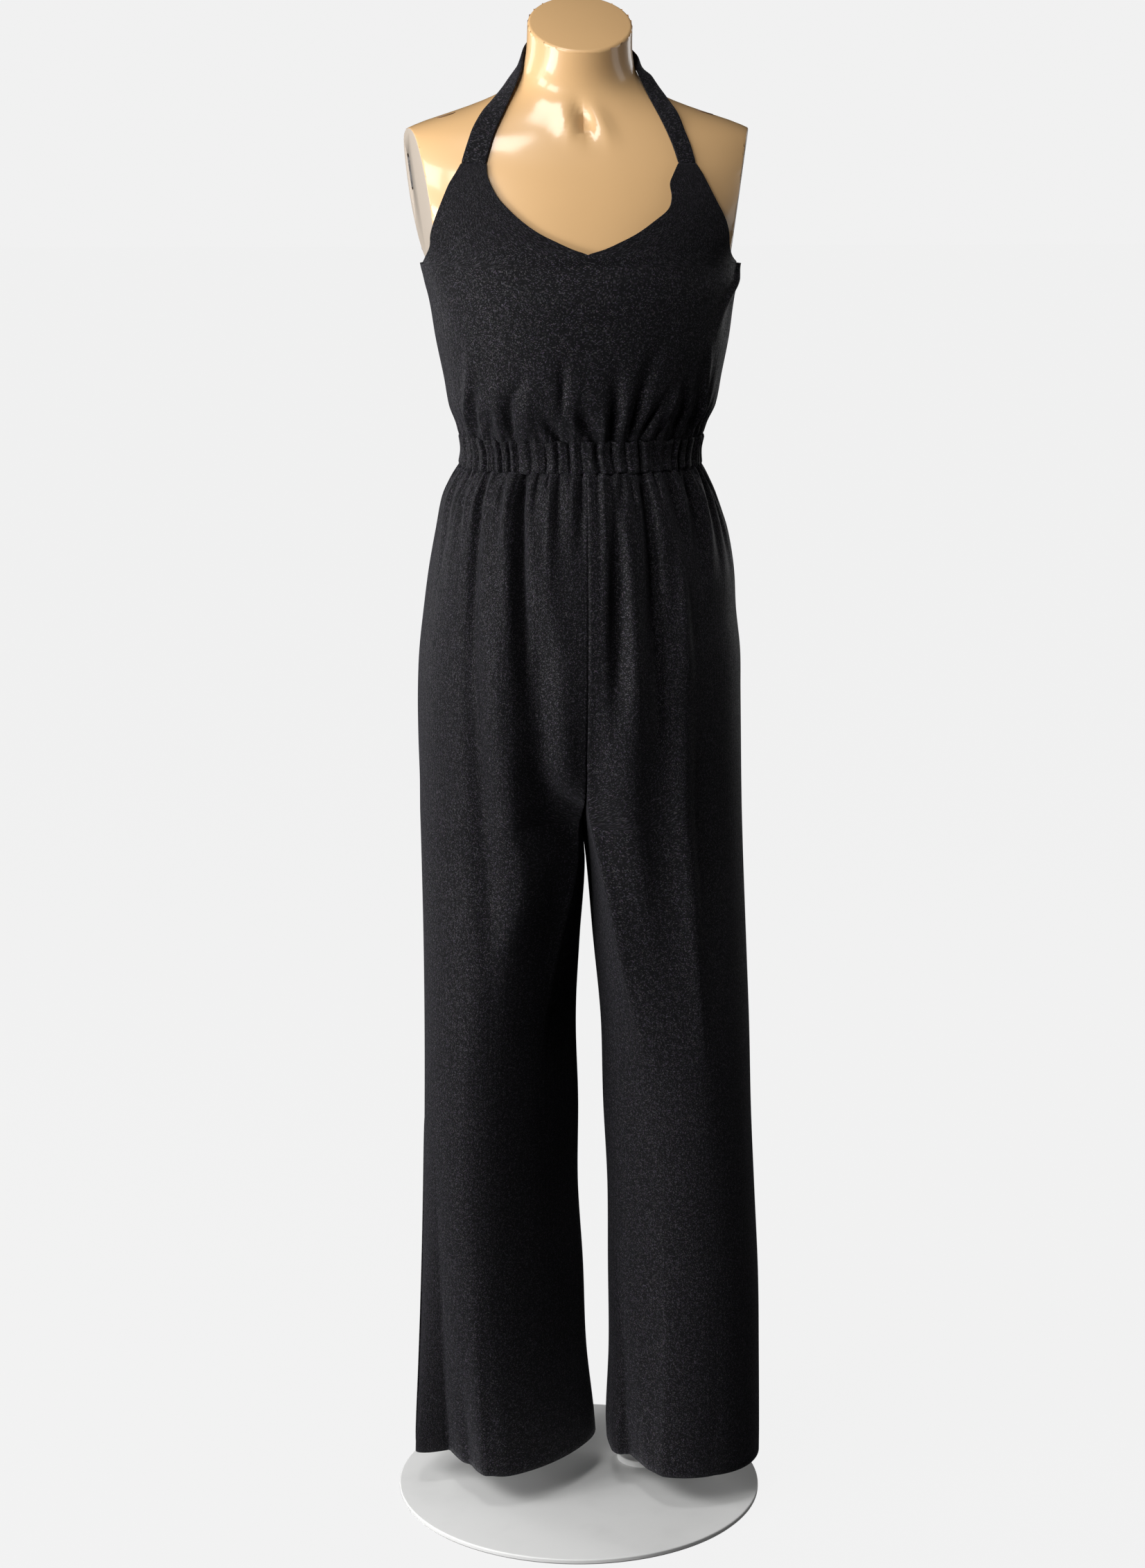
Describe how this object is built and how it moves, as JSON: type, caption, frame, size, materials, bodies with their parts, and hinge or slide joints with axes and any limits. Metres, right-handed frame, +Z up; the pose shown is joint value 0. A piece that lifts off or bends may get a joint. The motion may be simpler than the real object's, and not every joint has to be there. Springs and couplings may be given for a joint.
{
  "type": "halter-neck jumpsuit on a limbless dress form",
  "caption": "Halter-neck jumpsuit with a ruched elastic waist and wide straight legs, worn by a limbless dress form on a pole and a round base plate.",
  "frame": {"origin": "on the floor, under the middle of the round base plate", "axes": "+Z up, -Y the wearer's front, +X the wearer's left"},
  "size_m": [0.4, 0.4, 1.6145],
  "materials": {
    "knit": "soft charcoal jersey with fine metallic specks",
    "form": "warm beige satin-gloss shell",
    "stand": "white satin paint"
  },
  "bodies": {
    "root": {"form_torso": "form", "stand_base": "stand", "stand_pole": "stand", "bodice_front": "knit", "bodice_back": "knit", "halter_strap": "knit", "waistband_front": "knit", "waistband_back": "knit", "trouser_front_left": "knit", "trouser_front_right": "knit", "trouser_back_left": "knit", "trouser_back_right": "knit"}
  },
  "joints": []
}
